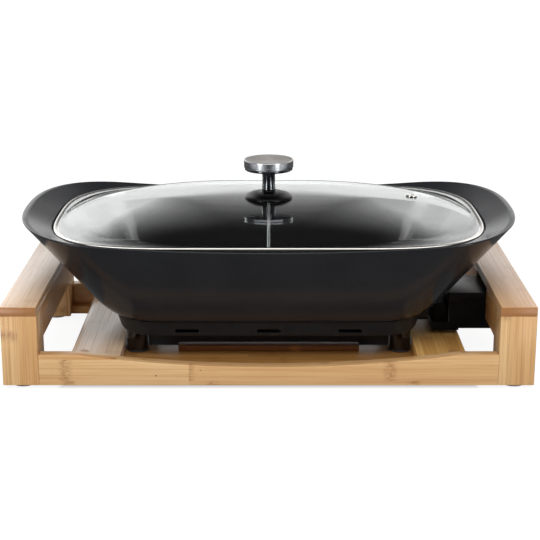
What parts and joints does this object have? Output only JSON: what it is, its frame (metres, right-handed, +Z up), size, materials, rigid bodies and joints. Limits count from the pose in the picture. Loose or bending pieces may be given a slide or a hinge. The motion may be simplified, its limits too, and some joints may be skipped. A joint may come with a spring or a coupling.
{
  "type": "multicooker",
  "caption": "Electric table multicooker: boat-shaped non-stick pan with divider, lift-off domed glass lid and plug-in thermostat, on a bamboo stand.",
  "frame": {"origin": "on the table, under the middle of the stand", "axes": "+X to the right, towards the thermostat; +Y to the back; +Z up"},
  "size_m": [0.5, 0.281, 0.1961],
  "materials": {
    "bamboo": "clear-oiled laminated bamboo",
    "bamboo_floor": "oiled bamboo, darker heartwood",
    "steel": "zinc-plated steel",
    "grey_rubber": "soft grey rubber",
    "nonstick": "satin black non-stick coating on cast aluminium",
    "black_plastic": "matte black heat-resistant plastic",
    "black_rubber": "black rubber",
    "element_steel": "oxidised steel tube",
    "brass": "bright brass",
    "cast_aluminium": "plain aluminium",
    "lid_glass": "clear tempered glass",
    "band_steel": "polished stainless steel",
    "gloss_black": "glossy black phenolic",
    "cap_steel": "spun stainless steel",
    "divider_aluminium": "satin aluminium sheet",
    "control_black": "black moulded plastic",
    "control_grey": "dark grey moulded plastic",
    "ceramic": "white steatite, stated as plastic",
    "amber_lens": "clear amber lens"
  },
  "bodies": {
    "stand": {"front_rail": "bamboo", "back_rail": "bamboo", "front_left_post": "bamboo", "front_right_post": "bamboo", "back_left_post": "bamboo", "back_right_post": "bamboo", "left_top_rail": "bamboo", "right_top_rail": "bamboo", "left_apron": "bamboo", "right_front_apron": "bamboo", "right_back_apron": "bamboo", "left_cross_board": "bamboo", "right_cross_board": "bamboo", "front_cleat": "bamboo_floor", "back_cleat": "bamboo_floor", "front_plank": "bamboo_floor", "back_plank": "bamboo_floor", "front_batten": "bamboo_floor", "back_batten": "bamboo_floor", "board_plugs": "bamboo_floor", "joint_dowels": "bamboo_floor", "board_screws": "steel", "stand_feet": "grey_rubber", "pan": "nonstick", "base_skirt": "black_plastic", "base_feet": "black_plastic", "foot_pads": "black_rubber", "foot_screws": "steel", "heating_element": "element_steel", "contact_pins": "brass", "probe_well": "cast_aluminium", "reflector_plate": "cast_aluminium", "socket_guard": "black_plastic"},
    "lid": {"lid_glass": "lid_glass", "lid_band": "band_steel", "steam_vent": "band_steel", "knob_flange": "gloss_black", "knob_collar": "band_steel", "knob_neck": "gloss_black", "knob_cap": "cap_steel", "knob_screw": "steel", "knob_washer": "steel"},
    "divider": {"divider_plate": "divider_aluminium"},
    "thermostat": {"thermostat_housing": "control_black", "thermostat_cover": "control_grey", "cover_screws": "steel", "plug_block": "control_black", "contact_sockets": "brass", "temperature_probe": "steel", "switch_block": "ceramic", "indicator_lens": "amber_lens", "cord_gland": "control_black"},
    "dial": {"dial_knob": "control_black", "dial_shaft": "steel"}
  },
  "joints": [
    {"name": "lid_lift", "type": "slide", "parent": "stand", "child": "lid", "axis": [0, 0, 1], "range_m": [0, 0.2]},
    {"name": "divider_lift", "type": "slide", "parent": "stand", "child": "divider", "axis": [0, 0, 1], "range_m": [0, 0.1]},
    {"name": "thermostat_pull", "type": "slide", "parent": "stand", "child": "thermostat", "axis": [1, 0, 0], "range_m": [0, 0.09]},
    {"name": "dial_turn", "type": "hinge", "parent": "thermostat", "child": "dial", "pos_m": [0.24, 0, 0.046], "axis": [1, 0, 0], "range_deg": [0, 270]}
  ],
  "couplings": [
    {"joint": "divider_lift", "follows": "lid_lift", "ratio": 0.5}
  ]
}
